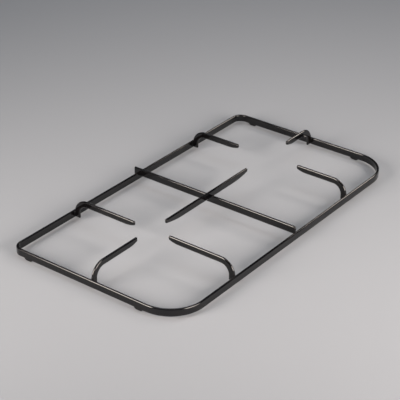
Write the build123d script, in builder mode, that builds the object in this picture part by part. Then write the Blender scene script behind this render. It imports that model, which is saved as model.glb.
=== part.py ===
"""Pan support for two burners of a gas hob, welded from flat steel bar and enamelled.

Millimetres, +Z up. X runs across the support, with the widely rounded corners on the +X side. Y runs along
it, with the small burner at -Y and the large burner at +Y. The origin is at the middle of the outline, on
the surface that the feet stand on.
"""

import os

from build123d import *

# Burner layout
burner_spacing = 230.0  # between the axes of the two burners
burner_to_end = 105.0  # from a burner's axis to the nearest short side, outside
support_width = 240.0  # outside of one long side to outside of the other
small_opening_radius = 24.9  # small burner's axis to the finger tips around it
large_opening_radius = 44.5  # large burner's axis to the finger tips around it

# Flat bar, all of it standing on edge
bar_thickness = 3.2
rail_height = 9.6
cross_bar_height = 10.0
centre_bar_height = 8.8
finger_depth = 7.8
edge_flat = 0.2  # left between the two rolled edges along the top of the outer frame and the cross bar
edge_bevel = 0.85  # a flat bevel stands for the rolled edge on the other bars and under the frame
weld_sink = 0.8  # how far a bar sinks onto the one that it crosses

# Outer frame
wide_corner_radius = 44.5  # outside of the two +X corners
tight_corner_radius = 13.0  # outside of the two -X corners

# Cross bar
cross_bar_end_radius = 3.0  # upper corner at the +X end

# Fingers
finger_bend_radius = 11.4  # inside of the bend
finger_leg_lift = 1.4  # leg's lower end above the underside of the rail
finger_leg_sink = 0.2  # how far a leg sinks into the inside of its rail
finger_taper_length = 15.0
finger_tip_height = 5.0
centre_taper_length = 32.0
centre_tip_height = 5.0
tip_rounding = 1.8

# Feet
foot_drop = 2.0  # below the underside of the rail
foot_length = 12.0
foot_flat = 4.0  # length of the part that touches the hob
foot_thickness = 2.4
inner_foot_inset = 25.0  # middle of the foot from the outside of the -X long side
outer_foot_inset = 54.5  # middle of the foot from the outside of the +X long side

# Rolled edges, close to half round
edge_rounding = (bar_thickness - edge_flat) / 2

# Heights above the hob
rail_underside = foot_drop
rail_top = rail_underside + rail_height
cross_bar_underside = rail_top - weld_sink
cross_bar_top = cross_bar_underside + cross_bar_height
centre_bar_underside = cross_bar_top - weld_sink
pan_height = centre_bar_underside + centre_bar_height

# Places in plan
support_length = burner_spacing + 2 * burner_to_end
burner_y = burner_spacing / 2
rail_outside_x = support_width / 2
rail_outside_y = support_length / 2
rail_inside_x = rail_outside_x - bar_thickness
rail_inside_y = rail_outside_y - bar_thickness
end_finger_x = -bar_thickness / 2  # an end finger has one side on the middle line

os.makedirs("parts", exist_ok=True)


def save(piece, label):
    """Name a finished piece and write it to its own file."""
    piece.label = label
    export_step(piece, f"parts/{label}.step")


def tip_relief(tip, underside, towards, length, rise):
    """Outline of what is cut from under a bar so that it thins along an arc towards its tip."""
    start = (tip - towards * length, underside)
    end = (tip, underside + rise)
    with BuildLine() as relief:
        TangentArc(start, end, tangent=(towards, 0))
        Polyline(end, (tip, underside), start)
    return relief.edges()


# Outer frame: a ring of flat bar with its edges eased
with BuildPart() as outer_frame:
    with BuildSketch(Plane.XY.offset(rail_underside)) as ring:
        Rectangle(support_width, support_length)
        fillet(ring.vertices().group_by(Axis.X)[-1], wide_corner_radius)
        fillet(ring.vertices().group_by(Axis.X)[0], tight_corner_radius)
        offset(amount=-bar_thickness, mode=Mode.SUBTRACT)
    extrude(amount=rail_height)
    fillet(outer_frame.faces().sort_by(Axis.Z)[-1].edges(), edge_rounding)
    chamfer(outer_frame.faces().sort_by(Axis.Z)[0].edges(), edge_bevel)
save(outer_frame.part, "outer_frame")


# Cross bar: lies on both long rails, cut square at -X and with its upper corner rounded at +X
with BuildPart() as cross_bar:
    with BuildSketch(Plane.XZ) as side_view:
        with Locations((0, cross_bar_underside)):
            Rectangle(support_width, cross_bar_height, align=(Align.CENTER, Align.MIN))
        corners = side_view.vertices().sort_by(Axis.Y)
        upper_end = corners[-2:].sort_by(Axis.X)[-1]
        fillet(upper_end, cross_bar_end_radius)
    extrude(amount=bar_thickness / 2, both=True)
    cut_end = cross_bar.edges().group_by(Axis.X)[0]
    fillet(cross_bar.faces().filter_by(Axis.Y).edges() - cut_end, edge_rounding)
    add(outer_frame.part, mode=Mode.SUBTRACT)
save(cross_bar.part, "cross_bar")


# Centre bar: lies on the cross bar and reaches out to both burners
with BuildPart() as centre_bar:
    small_tip = -burner_y + small_opening_radius
    large_tip = burner_y - large_opening_radius
    tip_rise = centre_bar_height - centre_tip_height
    with BuildSketch(Plane.YZ) as side_view:
        with Locations((small_tip, centre_bar_underside)):
            Rectangle(large_tip - small_tip, centre_bar_height, align=Align.MIN)
        for tip, towards in ((small_tip, -1), (large_tip, 1)):
            make_face(
                tip_relief(tip, centre_bar_underside, towards, centre_taper_length, tip_rise),
                mode=Mode.SUBTRACT,
            )
        fillet(side_view.vertices().group_by(Axis.X)[0], tip_rounding)
        fillet(side_view.vertices().group_by(Axis.X)[-1], tip_rounding)
    extrude(amount=bar_thickness / 2, both=True)
    chamfer(centre_bar.faces().filter_by(Axis.X).edges(), edge_bevel)
    add(cross_bar.part, mode=Mode.SUBTRACT)
save(centre_bar.part, "centre_bar")


def bent_finger(base, inward, reach):
    """A finger whose leg is welded at base, inside a rail, and whose arm runs inward to the tip."""
    base_x, base_y = base
    inward_x, inward_y = inward
    side_plane = Plane((base_x, base_y, 0), x_dir=(inward_x, inward_y, 0), z_dir=(inward_y, -inward_x, 0))
    leg_outside = -finger_leg_sink
    leg_inside = leg_outside + finger_depth
    leg_end = rail_underside + finger_leg_lift
    arm_underside = pan_height - finger_depth
    with BuildPart() as finger:
        with BuildSketch(side_plane) as side_view:
            with BuildLine():
                FilletPolyline(
                    (leg_outside, leg_end),
                    (leg_outside, pan_height),
                    (reach, pan_height),
                    radius=finger_bend_radius + finger_depth,
                )
                FilletPolyline(
                    (leg_inside, leg_end),
                    (leg_inside, arm_underside),
                    (reach, arm_underside),
                    radius=finger_bend_radius,
                )
                Line((leg_outside, leg_end), (leg_inside, leg_end))
                Line((reach, pan_height), (reach, arm_underside))
            make_face()
            make_face(
                tip_relief(reach, arm_underside, 1, finger_taper_length, finger_depth - finger_tip_height),
                mode=Mode.SUBTRACT,
            )
            fillet(side_view.vertices().group_by(Axis.X)[-1], tip_rounding)
        extrude(amount=bar_thickness / 2, both=True)
        chamfer(finger.faces().filter_by(side_plane).edges(), edge_bevel)
        add(outer_frame.part, mode=Mode.SUBTRACT)
    return finger.part


# Fingers: two from the long rails and one from the short rail around each burner
for burner, side, opening_radius in (("small", -1, small_opening_radius), ("large", 1, large_opening_radius)):
    side_reach = rail_inside_x - opening_radius
    end_reach = rail_inside_y - burner_y - opening_radius
    inner_base = (-rail_inside_x, side * burner_y)
    outer_base = (rail_inside_x, side * burner_y)
    end_base = (end_finger_x, side * rail_inside_y)
    save(bent_finger(inner_base, (1, 0), side_reach), f"{burner}_burner_inner_finger")
    save(bent_finger(outer_base, (-1, 0), side_reach), f"{burner}_burner_outer_finger")
    save(bent_finger(end_base, (0, -side), end_reach), f"{burner}_burner_end_finger")


def rounded_foot(foot_x, foot_y):
    """A nub under a short rail, flat where it stands and rounded up to the rail at both ends."""
    half_flat = foot_flat / 2
    half_length = foot_length / 2
    buried = rail_underside + edge_bevel
    with BuildPart() as foot:
        with BuildSketch(Plane.XZ.offset(-foot_y)):
            with BuildLine():
                Line((foot_x - half_flat, 0), (foot_x + half_flat, 0))
                TangentArc((foot_x + half_flat, 0), (foot_x + half_length, rail_underside), tangent=(1, 0))
                TangentArc((foot_x - half_flat, 0), (foot_x - half_length, rail_underside), tangent=(-1, 0))
                Polyline(
                    (foot_x - half_length, rail_underside),
                    (foot_x - half_length, buried),
                    (foot_x + half_length, buried),
                    (foot_x + half_length, rail_underside),
                )
            make_face()
        extrude(amount=foot_thickness / 2, both=True)
        add(outer_frame.part, mode=Mode.SUBTRACT)
    return foot.part


# Feet: two under each short rail
for end, side in (("small", -1), ("large", 1)):
    foot_y = side * (rail_outside_y - bar_thickness / 2)
    save(rounded_foot(-rail_outside_x + inner_foot_inset, foot_y), f"{end}_end_inner_foot")
    save(rounded_foot(rail_outside_x - outer_foot_inset, foot_y), f"{end}_end_outer_foot")
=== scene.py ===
"""Looks of a hob pan support: gloss black enamel over welded bars, on a pale floor in soft studio light.

Metres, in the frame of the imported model: +Z up, +Y along the support towards the large burner.
"""

import math

import bmesh
import bpy
from mathutils import Matrix, Vector


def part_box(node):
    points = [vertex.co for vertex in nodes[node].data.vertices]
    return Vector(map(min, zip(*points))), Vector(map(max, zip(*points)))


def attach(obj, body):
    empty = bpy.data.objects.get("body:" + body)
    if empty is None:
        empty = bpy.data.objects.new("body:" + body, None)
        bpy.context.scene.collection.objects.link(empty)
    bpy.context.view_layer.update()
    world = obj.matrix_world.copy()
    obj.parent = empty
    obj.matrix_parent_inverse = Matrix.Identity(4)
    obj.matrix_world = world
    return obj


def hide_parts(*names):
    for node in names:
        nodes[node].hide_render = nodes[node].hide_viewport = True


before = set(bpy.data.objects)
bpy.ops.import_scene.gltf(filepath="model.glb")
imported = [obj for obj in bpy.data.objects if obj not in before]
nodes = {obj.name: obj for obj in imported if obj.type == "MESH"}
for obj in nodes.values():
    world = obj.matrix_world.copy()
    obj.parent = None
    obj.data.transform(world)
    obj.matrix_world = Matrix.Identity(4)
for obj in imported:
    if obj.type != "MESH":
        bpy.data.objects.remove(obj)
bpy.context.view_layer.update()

# Camera, fitted to the outline in the photograph, with its angles in degrees
photo_width_pixels = 400
focal_length_pixels = 1346.7
sensor_width_mm = 36.0
camera_azimuth = 37.06
camera_elevation = 29.46
camera_roll = 0.42
camera_distance = 1.640
camera_target = Vector((-0.0250, 0.0084, 0.0020))

# Soft boxes: where each one stands as seen from the support, in degrees and metres, and its size
left_soft_box = dict(azimuth=-22.5, elevation=19.0, distance=1.25, width=0.59, height=0.69)
right_soft_box = dict(azimuth=88.0, elevation=18.5, distance=1.10, width=0.80, height=0.53)
back_soft_box = dict(azimuth=166.0, elevation=35.0, distance=1.60, width=0.50, height=0.30)
top_soft_box = dict(azimuth=217.0, elevation=72.0, distance=5.10, width=5.40, height=3.60)
left_radiance = 26.0
right_radiance = 24.0
back_radiance = 16.0
top_radiance = 1.5
warm_white = (1.0, 0.90, 0.82)
cool_white = (0.94, 0.97, 1.0)
grid_angle = math.radians(80.0)  # how far a grid lets the light of a soft box spread
no_grid = math.pi

# Sky and floor
sky_colour = (0.80, 0.88, 1.0)
sky_strength = 0.06
floor_colour = (0.34, 0.355, 0.38)
floor_half_size = 6.0

# Enamel: scales in turns per metre, heights in metres
tint_scale = 55.0
tint_detail = 2.0
darkest_tint = (0.0015, 0.0015, 0.002)
palest_tint = (0.004, 0.0035, 0.0035)
gloss_scale = 140.0
gloss_detail = 4.0
least_roughness = 0.05
most_roughness = 0.11
wave_scale = 30.0
wave_detail = 1.0
wave_height = 0.0002
peel_scale = 420.0
peel_detail = 2.0
peel_height = 0.00001
enamel_ior = 1.52
noise_low = 0.3  # nearly all of a noise pattern lies between these two values
noise_high = 0.7

# Edges that the enamel rounds over
merge_distance = 1e-6
flat_angle = math.radians(0.5)  # faces that turn less than this are one face
sharp_angle = math.radians(25.0)  # edges that turn more than this are rounded
round_profile = 0.5
easing_segments = 4
bar_easing = 0.00058
cut_easing = 0.00030
foot_easing = 0.00050
cut_end_depth = 0.0001  # within this of the cross bar's end, an edge belongs to the cut
seat_clearance = 0.0004  # edges of the cut that come closer to the rail's top than this stay sharp
level_tolerance = 0.00001  # this far above the rail's underside, a corner still counts as below it

# Outer frame: the solid's own section and corners in finer steps, with the edges of its bevels rounded
rail_thickness = 0.0032
rail_edge_radius = 0.0015
rail_edge_steps = 8
rail_bevel = 0.00085
rail_easing = 0.00030
rail_easing_steps = 3
half_bevel_turn = math.radians(22.5)  # half of what the section turns at each edge of a bevel
wide_corner_radius = 0.0445
wide_corner_steps = 40
tight_corner_radius = 0.0130
tight_corner_steps = 20

# Enamel in the corners of the welds
weld_margin = 0.0035  # how far the skin reaches past the bars of a joint
skin_voxel = 0.00025
skin_smoothing_factor = 0.5
skin_smoothing_rounds = 30
skin_sink = 0.00010  # how far the skin lies under the faces of the bars
skin_thinning = 0.30  # share of its faces that the skin keeps

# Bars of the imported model
fingers = [name for name in nodes if name.endswith("_finger")]
feet = [name for name in nodes if name.endswith("_foot")]
rail_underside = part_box("outer_frame")[0].z
rail_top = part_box("outer_frame")[1].z
inner_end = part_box("cross_bar")[0].x
outer_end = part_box("cross_bar")[1].x
cross_bar_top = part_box("cross_bar")[1].z

# Joints between the bars
half_bar = rail_thickness / 2
around_bar = half_bar + weld_margin
crossing_reach = (around_bar, around_bar, weld_margin)
leg_middle = (rail_underside + rail_top + weld_margin) / 2
leg_reach = (around_bar, around_bar, leg_middle - rail_underside)


def direction(azimuth, elevation):
    """Unit vector towards an azimuth and elevation in degrees; azimuth 0 is towards -Y and 90 towards +X."""
    turn = math.radians(azimuth)
    rise = math.radians(elevation)
    return Vector((math.sin(turn) * math.cos(rise), -math.cos(turn) * math.cos(rise), math.sin(rise)))


def new_material(name):
    """A node material, and the shader that it comes with."""
    material = bpy.data.materials.new(name)
    material.use_nodes = True
    return material, material.node_tree.nodes["Principled BSDF"]


def noise(tree, scale, detail):
    """A noise pattern over the object's own coordinates."""
    place = tree.nodes.new("ShaderNodeTexCoord")
    pattern = tree.nodes.new("ShaderNodeTexNoise")
    pattern.inputs["Scale"].default_value = scale
    pattern.inputs["Detail"].default_value = detail
    tree.links.new(place.outputs["Object"], pattern.inputs["Vector"])
    return pattern.outputs["Fac"]


def between_colours(tree, pattern, low, high):
    """Spread a noise pattern over the range from one colour to another."""
    blend = tree.nodes.new("ShaderNodeValToRGB")
    start, end = blend.color_ramp.elements
    start.position = noise_low
    start.color = (*low, 1)
    end.position = noise_high
    end.color = (*high, 1)
    tree.links.new(pattern, blend.inputs["Fac"])
    return blend.outputs["Color"]


def between_numbers(tree, pattern, low, high):
    """Spread a noise pattern over the range from one number to another."""
    blend = tree.nodes.new("ShaderNodeMapRange")
    blend.inputs["From Min"].default_value = noise_low
    blend.inputs["From Max"].default_value = noise_high
    blend.inputs["To Min"].default_value = low
    blend.inputs["To Max"].default_value = high
    tree.links.new(pattern, blend.inputs["Value"])
    return blend.outputs["Result"]


def bump(tree, pattern, height, normal=None):
    """Tilt the surface as a noise pattern of some height would, on top of an earlier tilt if there is one."""
    tilt = tree.nodes.new("ShaderNodeBump")
    tilt.inputs["Distance"].default_value = height
    tree.links.new(pattern, tilt.inputs["Height"])
    if normal is not None:
        tree.links.new(normal, tilt.inputs["Normal"])
    return tilt.outputs["Normal"]


def black_enamel():
    """Fired gloss enamel: near black, with a slow waviness, a fine orange peel and uneven gloss."""
    material, shader = new_material("black_enamel")
    tree = material.node_tree
    tint = between_colours(tree, noise(tree, tint_scale, tint_detail), darkest_tint, palest_tint)
    gloss = between_numbers(tree, noise(tree, gloss_scale, gloss_detail), least_roughness, most_roughness)
    wave = bump(tree, noise(tree, wave_scale, wave_detail), wave_height)
    peel = bump(tree, noise(tree, peel_scale, peel_detail), peel_height, wave)
    tree.links.new(tint, shader.inputs["Base Color"])
    tree.links.new(gloss, shader.inputs["Roughness"])
    tree.links.new(peel, shader.inputs["Normal"])
    shader.inputs["IOR"].default_value = enamel_ior
    return material


def pale_floor():
    """Plain pale board with no gloss."""
    material, shader = new_material("pale_floor")
    shader.inputs["Base Color"].default_value = (*floor_colour, 1)
    shader.inputs["Specular IOR Level"].default_value = 0.0
    return material


def modify(thing, kind, **settings):
    """Add a modifier to an object."""
    modifier = thing.modifiers.new(kind.lower(), kind)
    for setting, value in settings.items():
        setattr(modifier, setting, value)


def add_piece(name, mesh):
    """Put a finished mesh into the scene as an enamelled piece of the support."""
    mesh.name = name
    mesh.materials.append(enamel)
    mesh.shade_smooth()
    piece = bpy.data.objects.new(name, mesh)
    bpy.context.scene.collection.objects.link(piece)
    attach(piece, "root")
    return piece


def add_coat(name, form):
    """Show a form in place of a node."""
    mesh = bpy.data.meshes.new("coat")
    form.to_mesh(mesh)
    form.free()
    coat = add_piece(f"{name}_coat", mesh)
    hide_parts(name)
    modify(coat, "WEIGHTED_NORMAL", keep_sharp=False)
    return coat


def eased_coat(name, easing, is_eased):
    """A bar with its bevels and cut edges rounded over as enamel rounds them, shown in place of the solid."""
    form = bmesh.new()
    form.from_mesh(nodes[name].data)
    bmesh.ops.remove_doubles(form, verts=form.verts, dist=merge_distance)
    bmesh.ops.dissolve_limit(form, angle_limit=flat_angle, verts=form.verts, edges=form.edges)
    edges = [edge for edge in form.edges if edge.calc_face_angle(0.0) > sharp_angle and is_eased(edge)]
    bmesh.ops.bevel(
        form,
        geom=edges,
        offset=easing,
        offset_type="OFFSET",
        segments=easing_segments,
        profile=round_profile,
        affect="EDGES",
        clamp_overlap=False,
    )
    bmesh.ops.remove_doubles(form, verts=form.verts, dist=merge_distance)
    return add_coat(name, form)


def every_edge(edge):
    """True on any edge of a bar."""
    return True


def on_cut_end(edge):
    """True on the edges of the cross bar's square end, clear of its seat on the rail."""
    limit_x = inner_end + cut_end_depth
    limit_z = rail_top + seat_clearance
    return all(corner.co.x < limit_x and corner.co.z > limit_z for corner in edge.verts)


def below_rail(edge):
    """True on the edges of a foot that stand clear of the rail."""
    return all(corner.co.z < rail_underside + level_tolerance for corner in edge.verts)


def arc(middle, radius, start, end, steps):
    """Points of an arc from one angle to another, in degrees."""
    turns = [math.radians(start + (end - start) * step / steps) for step in range(steps + 1)]
    return [(middle[0] + radius * math.cos(turn), middle[1] + radius * math.sin(turn)) for turn in turns]


def rail_section():
    """Outline of the rail across its length: how far outside the outer face, and how high."""
    edge = rail_edge_radius
    edge_middle = rail_top - rail_edge_radius
    ease = rail_easing / math.tan(half_bevel_turn)
    cut_back = rail_bevel + rail_easing
    inner = -rail_thickness
    return [
        *arc((-cut_back, rail_underside + ease), ease, -90, -45, rail_easing_steps),
        *arc((-ease, rail_underside + cut_back), ease, -45, 0, rail_easing_steps),
        *arc((-edge, edge_middle), edge, 0, 90, rail_edge_steps),
        *arc((inner + edge, edge_middle), edge, 90, 180, rail_edge_steps),
        *arc((inner + ease, rail_underside + cut_back), ease, 180, 225, rail_easing_steps),
        *arc((inner + cut_back, rail_underside + ease), ease, 225, 270, rail_easing_steps),
    ]


def ring_coat(name):
    """The outer frame, with its corners in fine steps, shown in place of the solid."""
    section = rail_section()
    lowest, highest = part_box(name)
    corners = (
        (highest.x, lowest.y, wide_corner_radius, wide_corner_steps, -90),
        (highest.x, highest.y, wide_corner_radius, wide_corner_steps, 0),
        (lowest.x, highest.y, tight_corner_radius, tight_corner_steps, 90),
        (lowest.x, lowest.y, tight_corner_radius, tight_corner_steps, 180),
    )
    points = []
    for x, y, radius, steps, start in corners:
        middle = (x - math.copysign(radius, x), y - math.copysign(radius, y))
        rows = [arc(middle, radius + outside, start, start + 90, steps) for outside, height in section]
        for step in range(steps + 1):
            points += [(*row[step], height) for row, (outside, height) in zip(rows, section)]
    form = bmesh.new()
    rim = [form.verts.new(point) for point in points]
    count = len(section)
    for here in range(0, len(rim), count):
        there = (here + count) % len(rim)
        for i in range(count):
            j = (i + 1) % count
            form.faces.new((rim[here + i], rim[there + i], rim[there + j], rim[here + j]))
    return add_coat(name, form)


def crop(mesh, lowest, highest):
    """The part of a closed mesh inside a box, closed again."""
    form = bmesh.new()
    form.from_mesh(mesh)
    for axis in range(3):
        for corner, side in ((lowest, -1.0), (highest, 1.0)):
            outward = Vector()
            outward[axis] = side
            everything = [*form.verts, *form.edges, *form.faces]
            bmesh.ops.bisect_plane(form, geom=everything, plane_co=corner, plane_no=outward, clear_outer=True)
            bmesh.ops.holes_fill(form, edges=form.edges)
    return form


def weld_skin(bar, carrier, lowest, highest):
    """Enamel over a joint, which shows only where it fills the corner between the two bars."""
    block = bpy.data.meshes.new("block")
    both = bmesh.new()
    for name in (bar, carrier):
        part = crop(coats[name].data, lowest, highest)
        part.to_mesh(block)
        part.free()
        both.from_mesh(block)
    both.to_mesh(block)
    both.free()
    helper = bpy.data.objects.new("block", block)
    bpy.context.scene.collection.objects.link(helper)
    modify(helper, "REMESH", mode="VOXEL", voxel_size=skin_voxel)
    modify(helper, "SMOOTH", factor=skin_smoothing_factor, iterations=skin_smoothing_rounds)
    modify(helper, "DISPLACE", mid_level=0.0, strength=-skin_sink)
    modify(helper, "DECIMATE", ratio=skin_thinning)
    worked = helper.evaluated_get(bpy.context.evaluated_depsgraph_get())
    skin = bpy.data.meshes.new_from_object(worked)
    bpy.data.objects.remove(helper)
    bpy.data.meshes.remove(block)
    return skin


def weld(name, bar, carrier, middle, reach):
    """Add the enamel at the joint of a bar and its carrier, within reach of the joint's middle."""
    middle = Vector(middle)
    reach = Vector(reach)
    add_piece(name, weld_skin(bar, carrier, middle - reach, middle + reach))


def finger_joint(name):
    """Middle of the joint where a finger's leg stands against the inside of its rail."""
    lowest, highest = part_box(name)
    length = highest - lowest
    along = 0 if length.x > length.y else 1
    middle = (lowest + highest) / 2
    middle[along] = max(lowest[along], highest[along], key=abs)
    middle.z = leg_middle
    return middle


def floor_plane():
    """The floor, at the height of the feet."""
    mesh = bpy.data.meshes.new("floor")
    size = floor_half_size
    corners = [(-size, -size, 0), (size, -size, 0), (size, size, 0), (-size, size, 0)]
    mesh.from_pydata(corners, [], [(0, 1, 2, 3)])
    mesh.materials.append(pale_floor())
    floor = bpy.data.objects.new("floor", mesh)
    bpy.context.scene.collection.objects.link(floor)


def grid_gain(spread):
    """How much brighter a grid makes a soft box straight ahead, for the same power."""
    rise = math.tan(spread / 2)
    return rise / (rise - spread / 2)


def soft_box(name, radiance, colour, spread, azimuth, elevation, distance, width, height):
    """A rectangular soft light that faces the support, as bright as radiance straight ahead."""
    lamp = bpy.data.lights.new(name, "AREA")
    lamp.shape = "RECTANGLE"
    lamp.size = width
    lamp.size_y = height
    lamp.spread = spread
    lamp.energy = radiance * math.pi * width * height / grid_gain(spread)
    lamp.color = colour
    light = bpy.data.objects.new(name, lamp)
    towards = direction(azimuth, elevation)
    light.location = towards * distance
    light.rotation_mode = "QUATERNION"
    light.rotation_quaternion = towards.to_track_quat("Z", "Y")
    bpy.context.scene.collection.objects.link(light)


def sky():
    """An even pale sky for fill."""
    world = bpy.data.worlds.new("sky")
    world.use_nodes = True
    background = world.node_tree.nodes["Background"]
    background.inputs["Color"].default_value = (*sky_colour, 1)
    background.inputs["Strength"].default_value = sky_strength
    bpy.context.scene.world = world


def camera():
    """The camera at the photograph's viewing angle."""
    lens = bpy.data.cameras.new("camera")
    lens.sensor_width = sensor_width_mm
    lens.lens = focal_length_pixels / photo_width_pixels * sensor_width_mm
    view = bpy.data.objects.new("camera", lens)
    back = direction(camera_azimuth, camera_elevation)
    facing = (-back).to_track_quat("-Z", "Y").to_matrix().to_4x4()
    tilt = Matrix.Rotation(math.radians(camera_roll), 4, "Z")
    view.matrix_world = Matrix.Translation(camera_target + back * camera_distance) @ facing @ tilt
    bpy.context.scene.collection.objects.link(view)
    bpy.context.scene.camera = view


# Enamelled bars
enamel = black_enamel()
coats = {"outer_frame": ring_coat("outer_frame")}
for name in [*fingers, "centre_bar"]:
    coats[name] = eased_coat(name, bar_easing, every_edge)
coats["cross_bar"] = eased_coat("cross_bar", cut_easing, on_cut_end)
for name in feet:
    coats[name] = eased_coat(name, foot_easing, below_rail)

# Enamel in the corners of the welds
for name in fingers:
    weld(f"{name}_weld", name, "outer_frame", finger_joint(name), leg_reach)
for side, x in (("inner", inner_end + half_bar), ("outer", outer_end - half_bar)):
    weld(f"cross_bar_{side}_weld", "cross_bar", "outer_frame", (x, 0, rail_top), crossing_reach)
weld("centre_bar_weld", "centre_bar", "cross_bar", (0, 0, cross_bar_top), crossing_reach)
for name in feet:
    lowest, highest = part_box(name)
    half_size = (highest - lowest) / 2
    foot_reach = (half_size.x + weld_margin, around_bar, half_size.z + weld_margin)
    weld(f"{name}_weld", name, "outer_frame", (lowest + highest) / 2, foot_reach)

# Floor, light and camera
floor_plane()
soft_box("left_soft_box", left_radiance, warm_white, grid_angle, **left_soft_box)
soft_box("right_soft_box", right_radiance, warm_white, grid_angle, **right_soft_box)
soft_box("back_soft_box", back_radiance, warm_white, grid_angle, **back_soft_box)
soft_box("top_soft_box", top_radiance, cool_white, no_grid, **top_soft_box)
sky()
camera()
bpy.context.scene.view_settings.view_transform = "Standard"
